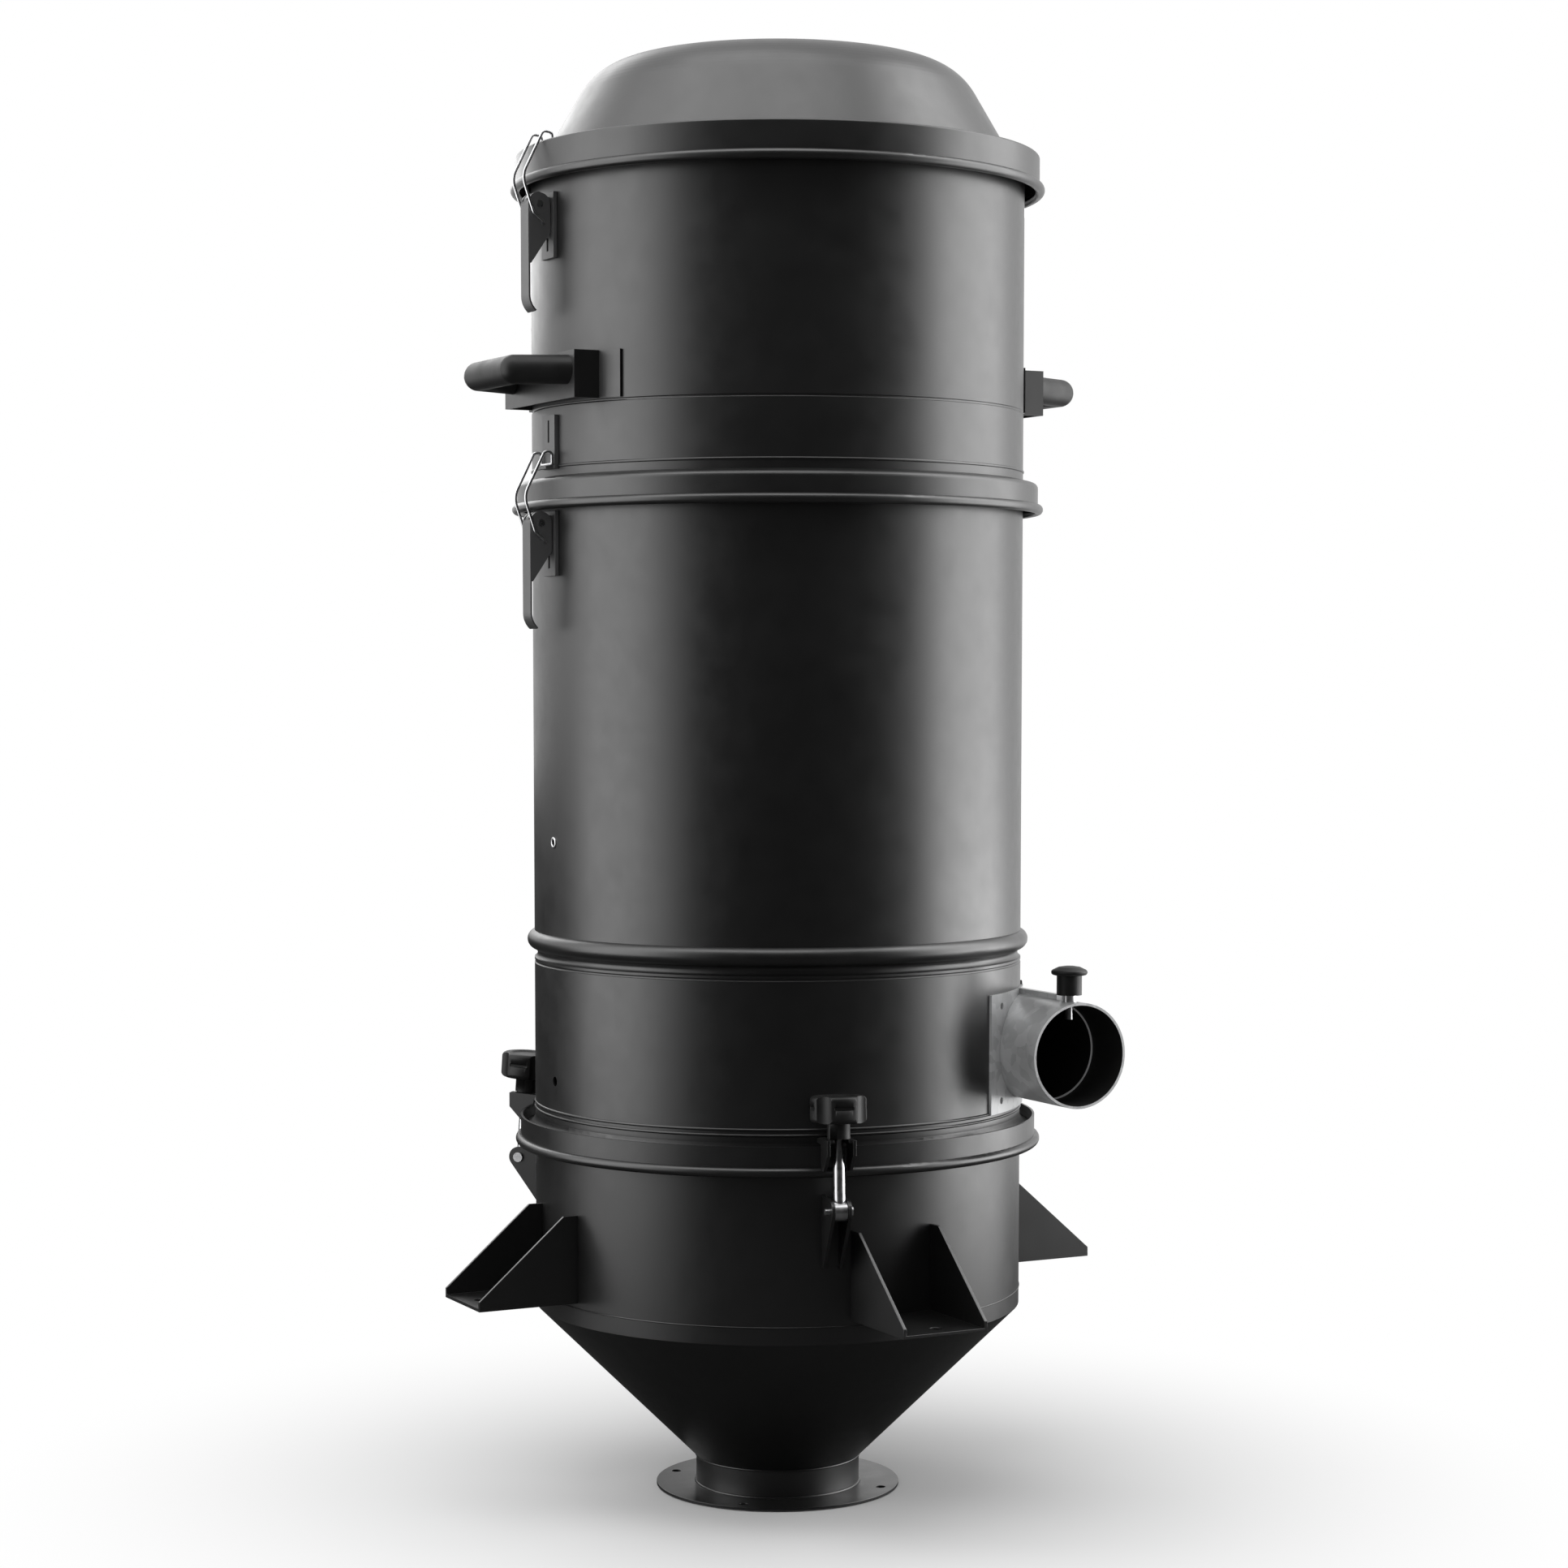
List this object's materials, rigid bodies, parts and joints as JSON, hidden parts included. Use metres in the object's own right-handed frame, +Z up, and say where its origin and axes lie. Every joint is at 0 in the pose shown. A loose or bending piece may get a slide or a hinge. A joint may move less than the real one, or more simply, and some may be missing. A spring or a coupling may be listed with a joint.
{
  "type": "hopper filter separator",
  "caption": "Sheet-steel hopper filter separator: domed lid, latched filter tower, tangential hose inlet with lock plunger, and a conical dust hopper on bolt-down feet.",
  "frame": {"origin": "centre of the underside of the outlet flange", "axes": "+Z up along the tower's axis, -Y towards the mouth of the inlet tube, +X towards the inlet's side"},
  "size_m": [0.646, 0.646, 1.3501],
  "materials": {
    "body_paint": "satin powder coat",
    "lid_paint": "satin powder coat",
    "bright_steel": "bright zinc",
    "galvanised": "galvanised sheet",
    "knob_plastic": "matte",
    "gasket": "matte"
  },
  "bodies": {
    "separator": {"outlet_flange": "body_paint", "outlet_neck": "body_paint", "hopper_cone": "body_paint", "hopper_shell": "body_paint", "clamp_ring": "body_paint", "clamp_gasket": "gasket", "lower_shell": "body_paint", "middle_shell": "body_paint", "joint_gasket": "gasket", "joint_ring": "body_paint", "upper_shell": "body_paint", "lid_gasket": "gasket", "lid_rim": "lid_paint", "lid_dome": "lid_paint", "inlet_saddle": "galvanised", "inlet_tube": "galvanised", "plunger_barrel": "bright_steel", "foot_front": "body_paint", "foot_right": "body_paint", "foot_back": "body_paint", "foot_left": "body_paint", "handle_brackets": "body_paint", "handle_grips": "knob_plastic", "latch_keepers": "body_paint", "latch_bases": "body_paint", "latch_pins": "bright_steel", "bolt_forks": "body_paint", "bolt_clevises": "body_paint", "bolt_pins": "bright_steel"},
    "plunger": {"plunger_pin": "bright_steel", "plunger_knob": "knob_plastic"},
    "lever_upper_left": {"lever_upper_left": "body_paint"},
    "bail_upper_left": {"bail_upper_left": "bright_steel"},
    "lever_upper_right": {"lever_upper_right": "body_paint"},
    "bail_upper_right": {"bail_upper_right": "bright_steel"},
    "lever_lower_left": {"lever_lower_left": "body_paint"},
    "bail_lower_left": {"bail_lower_left": "bright_steel"},
    "lever_lower_right": {"lever_lower_right": "body_paint"},
    "bail_lower_right": {"bail_lower_right": "bright_steel"},
    "swing_bolt_front": {"swing_bolt_front": "bright_steel"},
    "bolt_knob_front": {"bolt_knob_front": "knob_plastic"},
    "swing_bolt_right": {"swing_bolt_right": "bright_steel"},
    "bolt_knob_right": {"bolt_knob_right": "knob_plastic"},
    "swing_bolt_left": {"swing_bolt_left": "bright_steel"},
    "bolt_knob_left": {"bolt_knob_left": "knob_plastic"}
  },
  "joints": [
    {"name": "lever_upper_left_hinge", "type": "hinge", "parent": "separator", "child": "lever_upper_left", "pos_m": [-0.2446, 0, 1.1955], "axis": [0, 1, 0], "range_deg": [0, 100]},
    {"name": "bail_upper_left_hinge", "type": "hinge", "parent": "lever_upper_left", "child": "bail_upper_left", "pos_m": [-0.241, 0, 1.1785], "axis": [0, 1, 0], "range_deg": [-131, 1]},
    {"name": "lever_upper_right_hinge", "type": "hinge", "parent": "separator", "child": "lever_upper_right", "pos_m": [0.2446, 0, 1.1955], "axis": [0, -1, 0], "range_deg": [0, 100]},
    {"name": "bail_upper_right_hinge", "type": "hinge", "parent": "lever_upper_right", "child": "bail_upper_right", "pos_m": [0.241, 0, 1.1785], "axis": [0, -1, 0], "range_deg": [-131, 1]},
    {"name": "lever_lower_left_hinge", "type": "hinge", "parent": "separator", "child": "lever_lower_left", "pos_m": [-0.2446, 0, 0.9105], "axis": [0, 1, 0], "range_deg": [0, 100]},
    {"name": "bail_lower_left_hinge", "type": "hinge", "parent": "lever_lower_left", "child": "bail_lower_left", "pos_m": [-0.241, 0, 0.8935], "axis": [0, 1, 0], "range_deg": [-131, 1]},
    {"name": "lever_lower_right_hinge", "type": "hinge", "parent": "separator", "child": "lever_lower_right", "pos_m": [0.2446, 0, 0.9105], "axis": [0, -1, 0], "range_deg": [0, 100]},
    {"name": "bail_lower_right_hinge", "type": "hinge", "parent": "lever_lower_right", "child": "bail_lower_right", "pos_m": [0.241, 0, 0.8935], "axis": [0, -1, 0], "range_deg": [-131, 1]},
    {"name": "swing_bolt_front_hinge", "type": "hinge", "parent": "separator", "child": "swing_bolt_front", "pos_m": [-0.06807, -0.25404, 0.304], "axis": [0.9659, -0.2588, 0], "range_deg": [0, 100]},
    {"name": "bolt_knob_front_slide", "type": "slide", "parent": "swing_bolt_front", "child": "bolt_knob_front", "axis": [0.0181, 0.0674, 0.9976], "range_m": [-0.0005, 0.0285]},
    {"name": "swing_bolt_right_hinge", "type": "hinge", "parent": "separator", "child": "swing_bolt_right", "pos_m": [0.25404, 0.06807, 0.304], "axis": [-0.2588, 0.9659, 0], "range_deg": [0, 100]},
    {"name": "bolt_knob_right_slide", "type": "slide", "parent": "swing_bolt_right", "child": "bolt_knob_right", "axis": [-0.0674, -0.0181, 0.9976], "range_m": [-0.0005, 0.0285]},
    {"name": "swing_bolt_left_hinge", "type": "hinge", "parent": "separator", "child": "swing_bolt_left", "pos_m": [-0.18597, 0.18597, 0.304], "axis": [-0.7071, -0.7071, 0], "range_deg": [0, 100]},
    {"name": "bolt_knob_left_slide", "type": "slide", "parent": "swing_bolt_left", "child": "bolt_knob_left", "axis": [0.0493, -0.0493, 0.9976], "range_m": [-0.0005, 0.0285]},
    {"name": "plunger_slide", "type": "slide", "parent": "separator", "child": "plunger", "axis": [0, 0, 1], "range_m": [0, 0.014], "stiffness_N_per_m": 400}
  ],
  "couplings": [
    {"joint": "bail_upper_left_hinge", "follows": "lever_upper_left_hinge", "ratio": -1.3},
    {"joint": "bail_upper_right_hinge", "follows": "lever_upper_right_hinge", "ratio": -1.3},
    {"joint": "bail_lower_left_hinge", "follows": "lever_lower_left_hinge", "ratio": -1.3},
    {"joint": "bail_lower_right_hinge", "follows": "lever_lower_right_hinge", "ratio": -1.3},
    {"joint": "bolt_knob_front_slide", "follows": "swing_bolt_front_hinge", "m_per_rad": 0.016},
    {"joint": "bolt_knob_right_slide", "follows": "swing_bolt_right_hinge", "m_per_rad": 0.016},
    {"joint": "bolt_knob_left_slide", "follows": "swing_bolt_left_hinge", "m_per_rad": 0.016}
  ]
}
